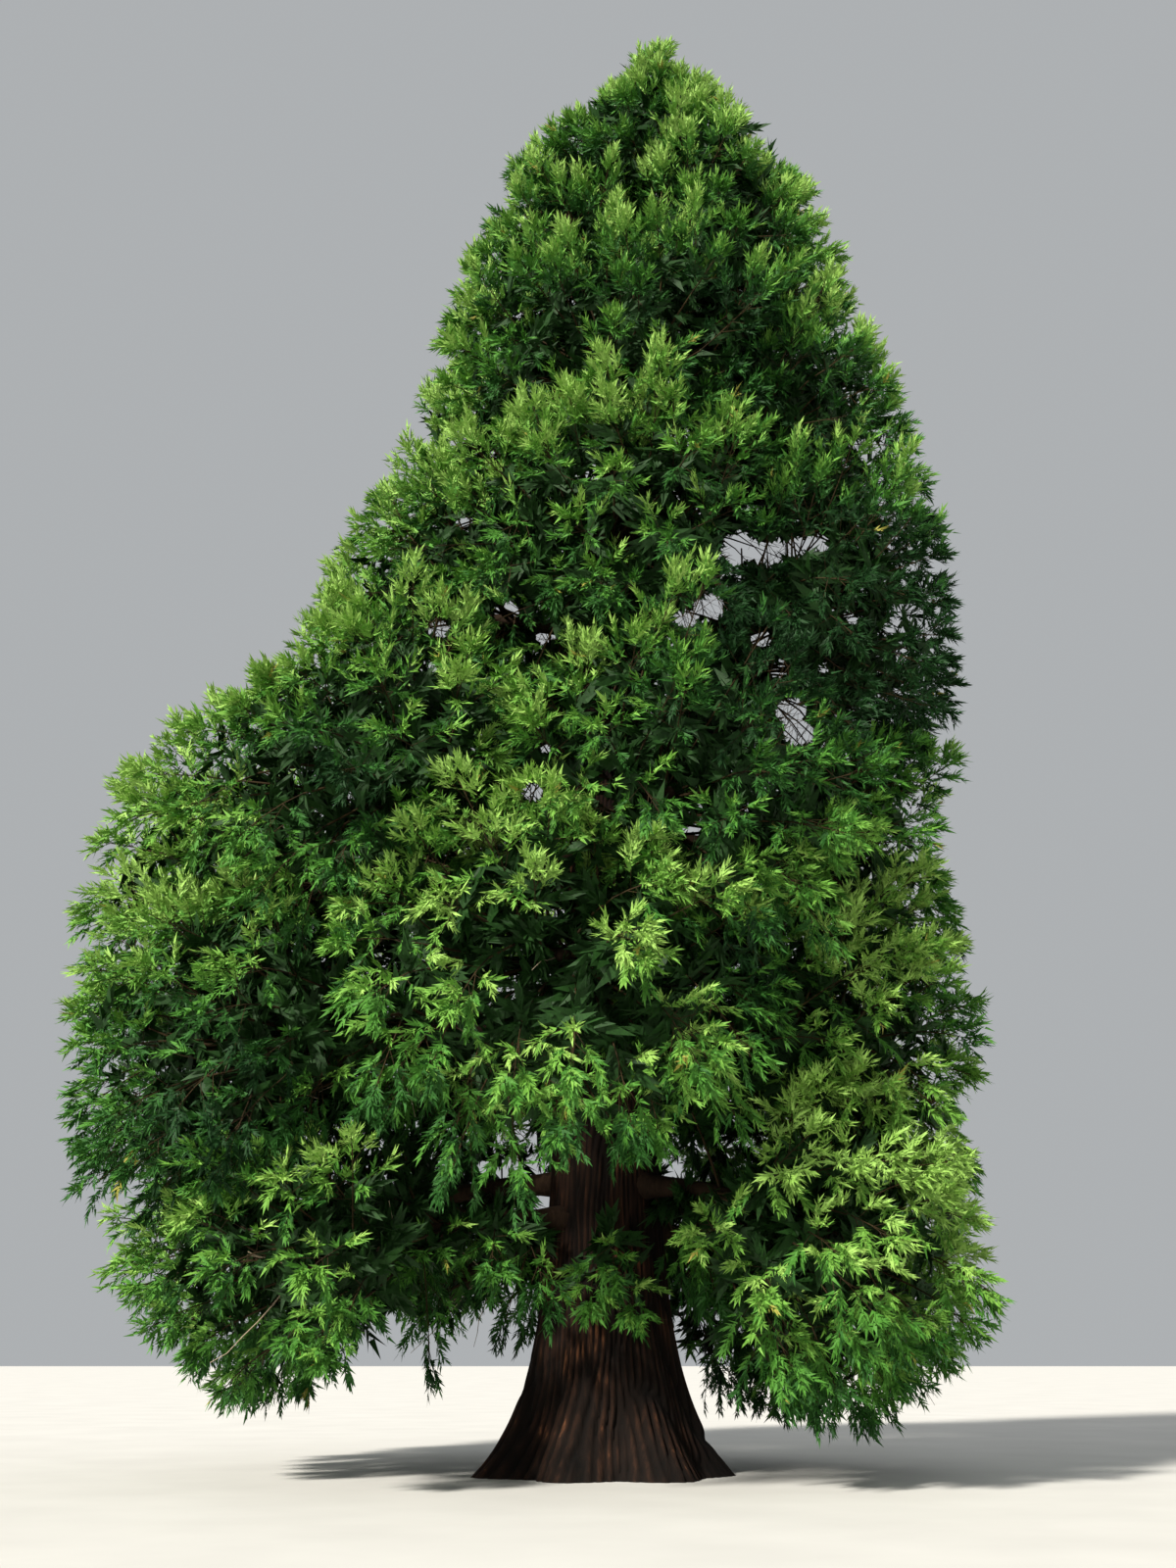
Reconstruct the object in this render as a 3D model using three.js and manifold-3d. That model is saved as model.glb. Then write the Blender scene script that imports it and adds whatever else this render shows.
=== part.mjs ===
// Giant sequoia: a mature parkland tree, clothed in foliage almost to the ground.
// Millimetres, +Z up. The origin is the middle of the flat cut under the trunk, at ground level.
// The front of the tree faces -Y. Azimuths are measured from the front towards +X, in degrees.
import * as THREE from "three";
import { mergeVertices } from "three/addons/utils/BufferGeometryUtils.js";
import Module from "manifold-3d";

const wasm = await Module();
wasm.setup();

// The whole tree
const HEIGHT = 27000;
const CLEARANCE = 0.3; // between two pieces that meet
const CELL_GAP = 120; // between the spaces of two neighbouring masses
const GROUND_GAP = 700; // the lowest that foliage hangs above the ground
const TRUNK_GAP = 480; // from the trunk's widest part beside a mass to the mass's space

// Trunk: a straight foot, then a gentle lean towards +X, with a fluted root flare
const TRUNK_TIP = 24600;
const TRUNK_LEAN = 1050;
const LEAN_POWER = 2.2;
const STEM_RADIUS = 930;
const TAPER_POWER = 0.85;
const TIP_RADIUS = 50;
const FLARE_REACH = 800;
const FLARE_HEIGHT = 1040;
const FLUTES = [[7, 1, 0.8], [3, 0.5, 2]]; // waves round the foot: how many, their share, their turn
const FLUTE_DEPTH = 0.1;
const FLUTE_HEIGHT = 1900;
const TRUNK_SIDES = 28;
const TRUNK_RINGS = [0, 180, 420, 750, 1150, 1700, 2500, 3600, 5200, 7500, 10500, 14000, 18000, 22000];

// Crown outline: height, reach to the left of the trunk's foot, reach to the right of it
const CROWN = [
  [900, 5200, 4300],
  [2600, 7300, 6300],
  [4500, 8400, 5900],
  [6500, 8500, 6200],
  [8600, 8700, 6200],
  [10500, 7900, 6300],
  [12200, 5900, 6500],
  [13500, 5200, 6500],
  [16200, 4700, 6100],
  [18700, 3850, 5400],
  [20500, 3000, 4950],
  [22500, 1950, 4300],
  [24300, 1200, 3300],
  [25600, 0, 2600],
  [27000, -800, 1300],
];

// Tiers of foliage masses, from the skirt to the leader. first and span are azimuths.
// radial, height: half sizes. attach: how far above the mass its limb leaves the trunk.
// droop: how far the mass hangs outwards, in degrees. sprays: on each mass.
const TIERS = [
  { name: "skirt", z: 3050, count: 6, first: 58, span: 246, radial: 2500, height: 2600, attach: 800,
    droop: 12, sprays: 14, limb: 170, bough: true },
  { name: "low", z: 6300, count: 6, first: 8, span: 300, radial: 2700, height: 3200, attach: 400,
    droop: 8, sprays: 15, limb: 185, bough: true },
  { name: "broad", z: 9300, count: 6, first: -32, span: 300, radial: 2700, height: 2900, attach: 100,
    droop: 4, sprays: 15, limb: 175, bough: true },
  { name: "middle", z: 13500, count: 5, first: -14, span: 288, radial: 2550, height: 3200, attach: -200,
    droop: 0, sprays: 14, limb: 150, bough: true },
  { name: "upper", z: 17000, count: 4, first: -12, span: 270, radial: 2500, height: 3200, attach: -700,
    droop: -6, sprays: 14, limb: 120, bough: false },
  { name: "high", z: 20300, count: 4, first: 30, span: 270, radial: 2200, height: 3000, attach: -900,
    droop: -12, sprays: 13, limb: 90, bough: false },
  { name: "crown_top", z: 22750, count: 3, first: 64, span: 240, radial: 1750, height: 2200, attach: -900,
    droop: -20, sprays: 12, limb: 60, bough: false },
];
const LEADER = { z: 24900, radial: 1350, height: 1500, sprays: 12 };
const SIDE_OVERLAP = 1.35; // half width of a mass against half the space between its neighbours
const HEIGHT_SHIFT = 420; // masses of a tier stand alternately higher and lower by up to this
const TURN_SHIFT = 6; // and are turned by up to this many degrees
const NEIGHBOUR_RANGE = 1.3; // masses share a wall up to this many times their own reaches apart

// Foliage
const CORE_SHARE = 0.72; // the dense inner part of a mass, against its outline
const WALL_SHARE = 0.9; // and at most this share of the way to a wall
const CORE_BILLOW = 0.1;
const CORE_DETAIL = 1; // how often the twenty faces of an icosahedron are divided
const BACK_LIMIT = -0.42; // sprays sit from the outer pole of a mass to here, as a cosine
const SPRAY_LENGTH = 0.58; // against the mass's reach there
const SPRAY_WIDTH = 0.6; // against the spray's length
const SPRAY_THICKNESS = 0.07;
const SPRAY_OUTWARD = 0.8; // sprays turn this much outwards from the trunk
const SPRAY_LIFT = 0.35; // this much up in the upper half of a mass, and down in the lower
const SPRAY_SPREAD = 0.65; // and this much aside, at random
const FACE_SPREAD = 0.4; // how far the face of a spray is turned at random
const LENGTH_SPREAD = 0.3;
const SHORTER = [1, 0.8, 0.62]; // a spray that would leave its mass's space is tried at these lengths
const ROOT_SUNK = 0.8; // a spray's root lies at this share of the core's depth
const GOLDEN_TURN = Math.PI * (3 - Math.sqrt(5));

// Limbs
const LIMB_SIDES = 6;
const LIMB_STEPS = 4;
const LIMB_TAPER = 0.5; // the limb's radius at the middle of its mass, against its root
const COLLAR = 0.45; // swelling at the trunk
const ARCH_FOLLOWS = 0.45; // the arch's middle takes this share of the attach height
const ARCH_RISE = 0.04; // and rises by this share of the limb's length
const STEM_END = 0.15; // the limb ends this share of the half size beyond its mass's middle
const BOUGH_STOPS_SHORT = 260; // of the core
const LIMB_SHY = 3; // sprays keep this many limb radii off their limb

const BARK = new THREE.MeshStandardMaterial({ color: 0x6b4430, roughness: 0.95, metalness: 0 });
const LIMB_BARK = new THREE.MeshStandardMaterial({ color: 0x5a4534, roughness: 0.95, metalness: 0 });
const FOLIAGE = new THREE.MeshStandardMaterial({ color: 0x3f6b24, roughness: 0.8, metalness: 0 });

const radians = THREE.MathUtils.degToRad;
const facing = (azimuth) => new THREE.Vector3(Math.sin(radians(azimuth)), -Math.cos(radians(azimuth)), 0);

// The minimal standard generator, so that the same seed gives the same tree everywhere.
function randomFrom(seed) {
  let state = seed;
  return () => {
    state = (state * 16807) % 2147483647;
    return state / 2147483647;
  };
}

// Straight lines between the rows of a table whose first column is the height.
function readTable(table, z, column) {
  const upper = table.findIndex((row) => row[0] >= z);
  if (upper === 0) return table[0][column];
  if (upper < 0) return table.at(-1)[column];
  const [low, high] = [table[upper - 1], table[upper]];
  return THREE.MathUtils.mapLinear(z, low[0], high[0], low[column], high[column]);
}

// Middle and radius of the crown's round section at a height.
function crownSection(z) {
  const [left, right] = [readTable(CROWN, z, 1), readTable(CROWN, z, 2)];
  return { middle: (right - left) / 2, radius: (right + left) / 2 };
}

const trunkAxis = (z) => new THREE.Vector3(TRUNK_LEAN * (Math.max(z, 0) / HEIGHT) ** LEAN_POWER, 0, z);

// Radius of the trunk: a tapering stem, an exponential flare and flutes that fade upwards.
function trunkRadius(z, angle) {
  const stem = TIP_RADIUS + STEM_RADIUS * Math.max(0, 1 - z / TRUNK_TIP) ** TAPER_POWER;
  const flare = FLARE_REACH * Math.exp(-z / FLARE_HEIGHT);
  const flute = FLUTES.reduce((sum, [waves, share, turn]) => sum + share * Math.cos(waves * angle + turn), 0);
  return (stem + flare) * (1 + FLUTE_DEPTH * Math.exp(-z / FLUTE_HEIGHT) * flute);
}

// A lathe of the trunk's rings, whose points are then moved to the lean and the flutes.
function trunkGeometry(grown) {
  const profile = [new THREE.Vector2(0, 0)];
  for (const z of [...TRUNK_RINGS, TRUNK_TIP]) profile.push(new THREE.Vector2(1, z));
  profile.push(new THREE.Vector2(0, TRUNK_TIP));
  const geometry = new THREE.LatheGeometry(profile, TRUNK_SIDES);
  geometry.rotateX(Math.PI / 2);
  const position = geometry.getAttribute("position");
  for (let i = 0; i < position.count; i += 1) {
    const [x, y, z] = [position.getX(i), position.getY(i), position.getZ(i)];
    const angle = Math.atan2(y, x);
    const radius = Math.hypot(x, y) * (trunkRadius(z, angle) + grown);
    const axis = trunkAxis(z);
    position.setXY(i, axis.x + radius * Math.cos(angle), axis.y + radius * Math.sin(angle));
  }
  return geometry;
}

function toSolid(geometry) {
  const bare = new THREE.BufferGeometry().setAttribute("position", geometry.getAttribute("position"));
  if (geometry.index) bare.setIndex(geometry.index);
  const merged = mergeVertices(bare, 1e-3);
  const vertProperties = new Float32Array(merged.getAttribute("position").array);
  const triVerts = new Uint32Array(merged.index.array);
  return new wasm.Manifold(new wasm.Mesh({ numProp: 3, vertProperties, triVerts }));
}

function toMesh(name, solid, material) {
  const { vertProperties, triVerts } = solid.getMesh();
  const geometry = new THREE.BufferGeometry();
  geometry.setAttribute("position", new THREE.BufferAttribute(new Float32Array(vertProperties), 3));
  geometry.setIndex(new THREE.BufferAttribute(new Uint32Array(triVerts), 1));
  geometry.computeVertexNormals();
  const mesh = new THREE.Mesh(geometry, material);
  mesh.name = name;
  return mesh;
}

// One mass: an egg-shaped space whose long axes point outwards, sideways and up.
function planMass(name, seed, azimuth, z, tier, halfWidth) {
  const { middle, radius } = crownSection(z);
  const out = facing(azimuth);
  const centre = new THREE.Vector3(middle, 0, z).addScaledVector(out, radius - tier.radial);
  const slope = radians(tier.droop);
  const outward = out.clone().multiplyScalar(Math.cos(slope));
  outward.z = -Math.sin(slope);
  const sideways = new THREE.Vector3(0, 0, 1).cross(out);
  const upward = outward.clone().cross(sideways);
  return {
    name, seed, tier, centre, out,
    axes: [outward, sideways, upward],
    half: [tier.radial, halfWidth, tier.height],
    walls: [],
  };
}

function planCrown() {
  const masses = [];
  for (const tier of TIERS) {
    const step = tier.span / (tier.count - 1);
    for (let i = 0; i < tier.count; i += 1) {
      const random = randomFrom(1000 * masses.length + 77);
      random();
      const azimuth = tier.first + i * step + TURN_SHIFT * (2 * random() - 1);
      const z = tier.z + (i % 2 ? -HEIGHT_SHIFT : HEIGHT_SHIFT) * (0.5 + 0.5 * random());
      const reach = crownSection(z).radius - tier.radial;
      const halfWidth = SIDE_OVERLAP * reach * Math.tan(radians(step) / 2);
      masses.push(planMass(`${tier.name}_mass_${i + 1}`, masses.length + 1, azimuth, z, tier, halfWidth));
    }
  }
  const top = { ...LEADER, droop: -90, limb: TIP_RADIUS };
  const leader = planMass("leader_mass", masses.length + 1, 90, LEADER.z, top, LEADER.radial);
  leader.centre = trunkAxis(LEADER.z);
  leader.half = [LEADER.height, LEADER.radial, LEADER.radial];
  masses.push(leader);
  return masses;
}

// How far an egg reaches along a unit direction, to the plane that touches it there.
const support = (mass, along) =>
  Math.hypot(...mass.axes.map((axis, i) => mass.half[i] * axis.dot(along)));

// Flat walls share out the space between two masses by their sizes. A wall is a normal and its
// distance from the mass's centre. Another wall keeps each mass off the trunk, and one off the ground.
function buildWalls(masses) {
  for (const mass of masses) {
    for (const other of masses) {
      if (other === mass) continue;
      const between = other.centre.clone().sub(mass.centre);
      const distance = between.length();
      const normal = between.divideScalar(distance);
      const [own, theirs] = [support(mass, normal), support(other, normal)];
      if (distance > NEIGHBOUR_RANGE * (own + theirs)) continue;
      mass.walls.push({ normal, distance: (distance * own) / (own + theirs) - CELL_GAP / 2 });
    }
    const down = new THREE.Vector3(0, 0, -1);
    mass.walls.push({ normal: down, distance: mass.centre.z - GROUND_GAP });
    if (mass.name === "leader_mass") continue;
    const inward = mass.out.clone().negate();
    const base = Math.max(0, mass.centre.z - mass.tier.height);
    const widest = (1 + FLUTE_DEPTH) * trunkRadius(base, 0);
    const away = trunkAxis(mass.centre.z).sub(mass.centre).dot(inward) - widest - TRUNK_GAP;
    mass.walls.push({ normal: inward, distance: away });
  }
}

// The free distance from a mass's centre to its walls along a unit direction.
const room = (mass, along) =>
  Math.min(...mass.walls.map((wall) => {
    const share = wall.normal.dot(along);
    return share > 1e-6 ? wall.distance / share : Infinity;
  }));

const isInside = (mass, point) => {
  const from = point.clone().sub(mass.centre);
  return mass.walls.every((wall) => wall.normal.dot(from) < wall.distance);
};

// A point of the egg's surface for a direction on the unit sphere, as an offset from the centre.
const eggOffset = (mass, unit) =>
  mass.axes.reduce(
    (sum, axis, i) => sum.addScaledVector(axis, mass.half[i] * unit.getComponent(i)),
    new THREE.Vector3(),
  );

// Slow waves over the unit sphere make the core billow.
function billow(mass, unit) {
  const across = Math.sin(4.3 * unit.y + mass.seed);
  const upwards = Math.sin(5.1 * unit.z + 2.2 * unit.x + mass.seed);
  return 1 + CORE_BILLOW * (across + upwards);
}

// The egg's surface at a share of its size, or a share of the way to a wall where that is nearer.
function shareOffset(mass, unit, eggShare, wallShare) {
  const offset = eggOffset(mass, unit);
  const length = offset.length();
  const along = offset.divideScalar(length);
  return along.multiplyScalar(Math.min(eggShare * length, wallShare * room(mass, along)));
}

const reachOffset = (mass, unit) => shareOffset(mass, unit, 1, 1);
const coreOffset = (mass, unit) => shareOffset(mass, unit, CORE_SHARE * billow(mass, unit), WALL_SHARE);

function coreSolid(mass) {
  const geometry = new THREE.IcosahedronGeometry(1, CORE_DETAIL);
  const position = geometry.getAttribute("position");
  for (let i = 0; i < position.count; i += 1) {
    const unit = new THREE.Vector3().fromBufferAttribute(position, i).normalize();
    const point = coreOffset(mass, unit).add(mass.centre);
    position.setXYZ(i, point.x, point.y, point.z);
  }
  return toSolid(geometry);
}

// The limb that carries a mass runs from inside the trunk to the mass's centre, in one soft arch.
function limbCurve(mass) {
  const start = trunkAxis(mass.centre.z + mass.tier.attach);
  const end = mass.centre.clone().addScaledVector(mass.axes[0], STEM_END * mass.half[0]);
  const middle = start.clone().lerp(end, 0.5);
  middle.z += ARCH_FOLLOWS * mass.tier.attach + ARCH_RISE * start.distanceTo(end);
  return new THREE.QuadraticBezierCurve3(start, middle, end);
}

// A cylinder whose rings are set along a curve, from one share of its length to another, with the
// taper of the whole limb and a collar where it leaves the trunk.
function limbGeometry(mass, curve, from, to, steps) {
  const geometry = new THREE.CylinderGeometry(1, 1, 1, LIMB_SIDES, steps);
  const position = geometry.getAttribute("position");
  const start = curve.getPoint(0);
  for (let i = 0; i < position.count; i += 1) {
    const share = from + (to - from) * (position.getY(i) + 0.5);
    const centre = curve.getPoint(share);
    const tangent = curve.getTangent(share);
    const side = new THREE.Vector3(0, 0, 1).cross(tangent).normalize();
    const up = side.clone().cross(tangent);
    const past = Math.max(0, centre.distanceTo(start) - trunkRadius(centre.z, 0)) / mass.tier.limb;
    const radius = mass.tier.limb * (1 - (1 - LIMB_TAPER) * share) * (1 + COLLAR * Math.exp(-past));
    const point = centre
      .addScaledVector(side, radius * position.getX(i))
      .addScaledVector(up, radius * position.getZ(i));
    position.setXYZ(i, point.x, point.y, point.z);
  }
  return geometry;
}

// The share of the curve's length at which a bough stops, short of the core.
function boughEnd(mass, curve) {
  const start = curve.getPoint(0);
  const inward = start.sub(mass.centre).normalize();
  const unit = new THREE.Vector3(...mass.axes.map((axis, i) => inward.dot(axis) / mass.half[i])).normalize();
  const stop = coreOffset(mass, unit).length() + BOUGH_STOPS_SHORT;
  let share = 1;
  while (share > 0 && curve.getPoint(share).distanceTo(mass.centre) < stop) share -= 0.002;
  return share;
}

// Directions of the sprays: a golden-angle spiral from the outer pole of the mass towards its back.
function sprayUnit(index, count) {
  const along = 1 - ((index + 0.5) / count) * (1 - BACK_LIMIT);
  const across = Math.sqrt(1 - along * along);
  const turn = index * GOLDEN_TURN;
  return new THREE.Vector3(along, across * Math.cos(turn), across * Math.sin(turn));
}

// A spray of needled shoots: a blade that opens from its root into three teeth, thick along its middle.
// Its outline lies in one plane, and a point above and one below close it.
function sprayPoints(root, tip, flat) {
  const along = tip.clone().sub(root);
  const length = along.length();
  along.divideScalar(length);
  const side = flat.clone().cross(along).normalize();
  const face = along.clone().cross(side);
  const place = (forward, sideways, lift = 0) =>
    root.clone()
      .addScaledVector(along, forward * length)
      .addScaledVector(side, sideways * SPRAY_WIDTH * length)
      .addScaledVector(face, lift * SPRAY_THICKNESS * length);
  return [
    place(0, 0), place(0.62, 0.62), place(0.7, 0.26), place(1, 0), place(0.7, -0.26), place(0.62, -0.62),
    place(0.5, 0, 1), place(0.5, 0, -1),
  ];
}

function spraySolid(points) {
  const outline = points.length - 2;
  const [above, below] = [outline, outline + 1];
  const index = [];
  for (let i = 0; i < outline; i += 1) {
    const next = (i + 1) % outline;
    index.push(next, i, above, i, next, below);
  }
  const geometry = new THREE.BufferGeometry().setFromPoints(points);
  geometry.setIndex(index);
  return toSolid(geometry);
}

const touchesLimb = (mass, curve, point) => {
  const nearest = Math.min(...curve.getPoints(LIMB_STEPS).map((onLimb) => onLimb.distanceTo(point)));
  return nearest < LIMB_SHY * mass.tier.limb;
};

// A spray that misses its core is a loose scrap, and is dropped.
const largestPart = (solid) =>
  solid.decompose().reduce((largest, part) => (part.volume() > largest.volume() ? part : largest));

// From inside a mass straight out, for a direction on the unit sphere.
const outwards = (mass, unit) =>
  mass.axes.reduce((sum, axis, i) => sum.addScaledVector(axis, unit.getComponent(i)), new THREE.Vector3());

const anyWay = (random) => new THREE.Vector3(2 * random() - 1, 2 * random() - 1, 2 * random() - 1);

// Each spray leans away from the trunk, up or down and aside, with its face turned outwards. The leader's
// first spray is the tip of the tree.
function foliageSolid(mass, curve) {
  let solid = coreSolid(mass);
  const random = randomFrom(mass.seed * 7919 + 13);
  const count = mass.tier.sprays;
  for (let i = 0; i < count; i += 1) {
    const unit = sprayUnit(i, count);
    const out = outwards(mass, unit);
    const heading = out.clone().addScaledVector(anyWay(random), SPRAY_SPREAD);
    heading.addScaledVector(mass.axes[0], SPRAY_OUTWARD);
    heading.z += SPRAY_LIFT * Math.sign(unit.z);
    heading.normalize();
    let length = SPRAY_LENGTH * reachOffset(mass, unit).length() * (1 + LENGTH_SPREAD * (random() - 0.5));
    const root = coreOffset(mass, unit).multiplyScalar(ROOT_SUNK).add(mass.centre);
    if (mass.name === "leader_mass" && i === 0) {
      heading.copy(trunkAxis(HEIGHT)).sub(root);
      length = heading.length();
      heading.divideScalar(length);
    }
    const flat = out.addScaledVector(anyWay(random), FACE_SPREAD);
    const tried = SHORTER.map((share) => {
      const tip = root.clone().addScaledVector(heading, share * length);
      return sprayPoints(root, tip, flat);
    });
    const fits = (point) => isInside(mass, point) && !touchesLimb(mass, curve, point);
    const points = tried.find((outline) => outline.slice(1).every(fits));
    if (points) solid = solid.add(spraySolid(points));
  }
  return largestPart(solid);
}

// The leader's mass sits on the trunk's tip. Each other mass has a stem of its own, which meets the tip
// of its bough or, in the upper tiers, the trunk.
function massMeshes(mass, trunkRoom) {
  if (mass.name === "leader_mass") {
    const curve = new THREE.LineCurve3(trunkAxis(TRUNK_TIP - LEADER.height), trunkAxis(TRUNK_TIP));
    return [toMesh(mass.name, foliageSolid(mass, curve).subtract(trunkRoom), FOLIAGE)];
  }
  const curve = limbCurve(mass);
  const foliage = foliageSolid(mass, curve);
  if (!mass.tier.bough) {
    const stem = toSolid(limbGeometry(mass, curve, 0, 1, LIMB_STEPS));
    return [toMesh(mass.name, foliage.add(stem).subtract(trunkRoom), FOLIAGE)];
  }
  const end = boughEnd(mass, curve);
  const bough = toSolid(limbGeometry(mass, curve, 0, end, LIMB_STEPS)).subtract(trunkRoom);
  const stem = toSolid(limbGeometry(mass, curve, end + CLEARANCE / curve.getLength(), 1, 2));
  return [
    toMesh(mass.name.replace("mass", "bough"), bough, LIMB_BARK),
    toMesh(mass.name, foliage.add(stem), FOLIAGE),
  ];
}

const tree = new THREE.Group();
tree.name = "giant_sequoia";
tree.add(toMesh("trunk", toSolid(trunkGeometry(0)), BARK));
const trunkRoom = toSolid(trunkGeometry(CLEARANCE));
const masses = planCrown();
buildWalls(masses);
for (const mass of masses) tree.add(...massMeshes(mass, trunkRoom));

export default tree;
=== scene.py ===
"""Giant sequoia: a trunk with ridged bark, arching limbs, and foliage grown on from them spray by spray.

Metres, +Z up. The origin is the middle of the flat cut under the trunk. The front faces -Y, and azimuths
are measured from the front towards +X, in degrees.
"""
import math

import bpy
import numpy as np
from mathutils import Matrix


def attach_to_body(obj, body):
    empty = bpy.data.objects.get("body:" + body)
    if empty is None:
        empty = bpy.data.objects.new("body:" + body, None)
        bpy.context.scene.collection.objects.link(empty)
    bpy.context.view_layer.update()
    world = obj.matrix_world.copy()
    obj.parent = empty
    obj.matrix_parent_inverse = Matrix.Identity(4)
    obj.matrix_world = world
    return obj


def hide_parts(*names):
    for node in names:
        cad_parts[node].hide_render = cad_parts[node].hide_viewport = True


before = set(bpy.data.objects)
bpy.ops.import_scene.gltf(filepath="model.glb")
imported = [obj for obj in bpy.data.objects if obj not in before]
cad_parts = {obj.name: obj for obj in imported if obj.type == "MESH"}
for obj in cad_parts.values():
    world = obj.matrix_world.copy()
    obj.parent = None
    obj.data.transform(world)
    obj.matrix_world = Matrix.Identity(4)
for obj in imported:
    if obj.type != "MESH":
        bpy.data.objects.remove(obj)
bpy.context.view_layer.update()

# Camera: the eye of someone who stands before the tree
EYE = np.array((-0.25, -25.5, 1.6))
PITCH = 19.95  # degrees above level
LENS = 36.4  # millimetres
FRAME = 36  # millimetres, the frame's height

# The whole tree
HEIGHT = 27.0
CELL_GAP = 0.12  # between the spaces of two neighbouring masses
GROUND_GAP = 0.7  # the lowest that a mass hangs above the ground
TRUNK_GAP = 0.48  # from the trunk's widest part beside a mass to the mass's space
GOLDEN_TURN = math.pi * (3 - math.sqrt(5))

# Trunk
TRUNK_TIP = 24.6
TRUNK_LEAN = 1.05
LEAN_POWER = 2.2
STEM_RADIUS = 0.93
TAPER_POWER = 0.85
TIP_RADIUS = 0.05
FLARE_REACH = 0.8
FLARE_HEIGHT = 1.04
FLUTES = ((7, 1.0, 0.8), (3, 0.5, 2.0))  # waves round the foot: how many, their share, their turn
FLUTE_DEPTH = 0.1
FLUTE_HEIGHT = 1.9

# Crown outline: height, reach to the left of the trunk's foot, reach to the right of it
CROWN = np.array([
    (0.9, 5.2, 4.3), (2.6, 7.3, 6.3), (4.5, 8.4, 5.9), (6.5, 8.5, 6.2), (8.6, 8.7, 6.2),
    (10.5, 7.9, 6.3), (12.2, 5.9, 6.5), (13.5, 5.2, 6.5), (16.2, 4.7, 6.1), (18.7, 3.85, 5.4),
    (20.5, 3.0, 4.95), (22.5, 1.95, 4.3), (24.3, 1.2, 3.3), (25.6, 0.0, 2.6), (27.0, -0.8, 1.3),
])

# Tiers of foliage masses, from the skirt to the leader: name, height, number, first azimuth, span of
# azimuths, half sizes outwards and upwards, how far above the mass its limb leaves the trunk, how far the
# mass hangs outwards in degrees, number of sprays, the limb's radius, whether the limb is a bough
TIER_WORDS = ("name", "z", "count", "first", "span", "radial", "height", "attach", "droop", "sprays", "limb",
              "bough")
TIERS = [dict(zip(TIER_WORDS, row)) for row in (
    ("skirt", 3.05, 6, 58, 246, 2.5, 2.6, 0.8, 12, 14, 0.17, True),
    ("low", 6.3, 6, 8, 300, 2.7, 3.2, 0.4, 8, 15, 0.185, True),
    ("broad", 9.3, 6, -32, 300, 2.7, 2.9, 0.1, 4, 15, 0.175, True),
    ("middle", 13.5, 5, -14, 288, 2.55, 3.2, -0.2, 0, 14, 0.15, True),
    ("upper", 17.0, 4, -12, 270, 2.5, 3.2, -0.7, -6, 14, 0.12, False),
    ("high", 20.3, 4, 30, 270, 2.2, 3.0, -0.9, -12, 13, 0.09, False),
    ("crown_top", 22.75, 3, 64, 240, 1.75, 2.2, -0.9, -20, 12, 0.06, False),
)]
LEADER = {"name": "leader", "z": 24.9, "radial": 1.35, "height": 1.5, "sprays": 12, "droop": -90,
          "limb": TIP_RADIUS, "bough": False}
SIDE_OVERLAP = 1.35  # half width of a mass against half the space between its neighbours
HEIGHT_SHIFT = 0.42  # masses of a tier stand alternately higher and lower by up to this
TURN_SHIFT = 6  # and are turned by up to this many degrees
NEIGHBOUR_RANGE = 1.3  # masses share a wall up to this many times their own reaches apart

# Sprays of the masses
CORE_SHARE = 0.72  # the dense inner part of a mass, against its outline
WALL_SHARE = 0.9  # and at most this share of the way to a wall
CORE_BILLOW = 0.1
BILLOW_WAVES = (4.3, 5.1, 2.2)  # radians across the mass, up it and outwards
BACK_LIMIT = -0.42  # sprays sit from the outer pole of a mass to here, as a cosine
SPRAY_LENGTH = 0.58  # against the mass's reach there
SPRAY_OUTWARD = 0.8  # sprays turn this much outwards from the trunk
SPRAY_LIFT = 0.35  # this much up in the upper half of a mass, and down in the lower
SPRAY_SPREAD = 0.65  # and this much aside, at random
LENGTH_SPREAD = 0.3
SHORTER = (1, 0.8, 0.62)  # a spray that would leave its mass's space is tried at these lengths
ROOT_SUNK = 0.8  # a spray's root lies at this share of the core's depth

# Limbs
LIMB_TAPER = 0.5  # the limb's radius at the middle of its mass, against its root
COLLAR = 0.45  # swelling at the trunk
ARCH_FOLLOWS = 0.45  # the arch's middle takes this share of the attach height
ARCH_RISE = 0.04  # and rises by this share of the limb's length
STEM_END = 0.15  # the limb ends this share of the half size beyond its mass's middle

# Places on the upright plane through the crown's middle, where the lines of sight from EYE cross it: x and
# height, with the radius of each opening that shows sky, and with the radius and strength of each place of
# painted light (lighter greens) and painted shade (darker greens, negative strength)
OPENINGS = (
    (2.5, 15.4, 0.36), (3.0, 15.3, 0.32), (3.5, 15.4, 0.26), (3.9, 15.5, 0.24), (1.9, 14.2, 0.3),
    (1.5, 14.0, 0.22), (4.4, 14.0, 0.16), (2.8, 13.6, 0.26), (3.1, 13.0, 0.22), (3.9, 13.0, 0.16),
    (3.3, 12.2, 0.3), (3.4, 11.8, 0.28), (-1.7, 14.1, 0.24), (-1.0, 13.7, 0.26), (-2.9, 13.8, 0.24),
    (-2.5, 15.9, 0.2), (-1.6, 20.4, 0.16), (-1.2, 20.5, 0.16), (-0.6, 20.7, 0.14), (2.7, 21.0, 0.12),
    (-1.0, 11.5, 0.14), (-1.2, 10.7, 0.2), (2.4, 10.4, 0.12), (0.02, 10.5, 0.24), (0.05, 11.0, 0.22))
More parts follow.
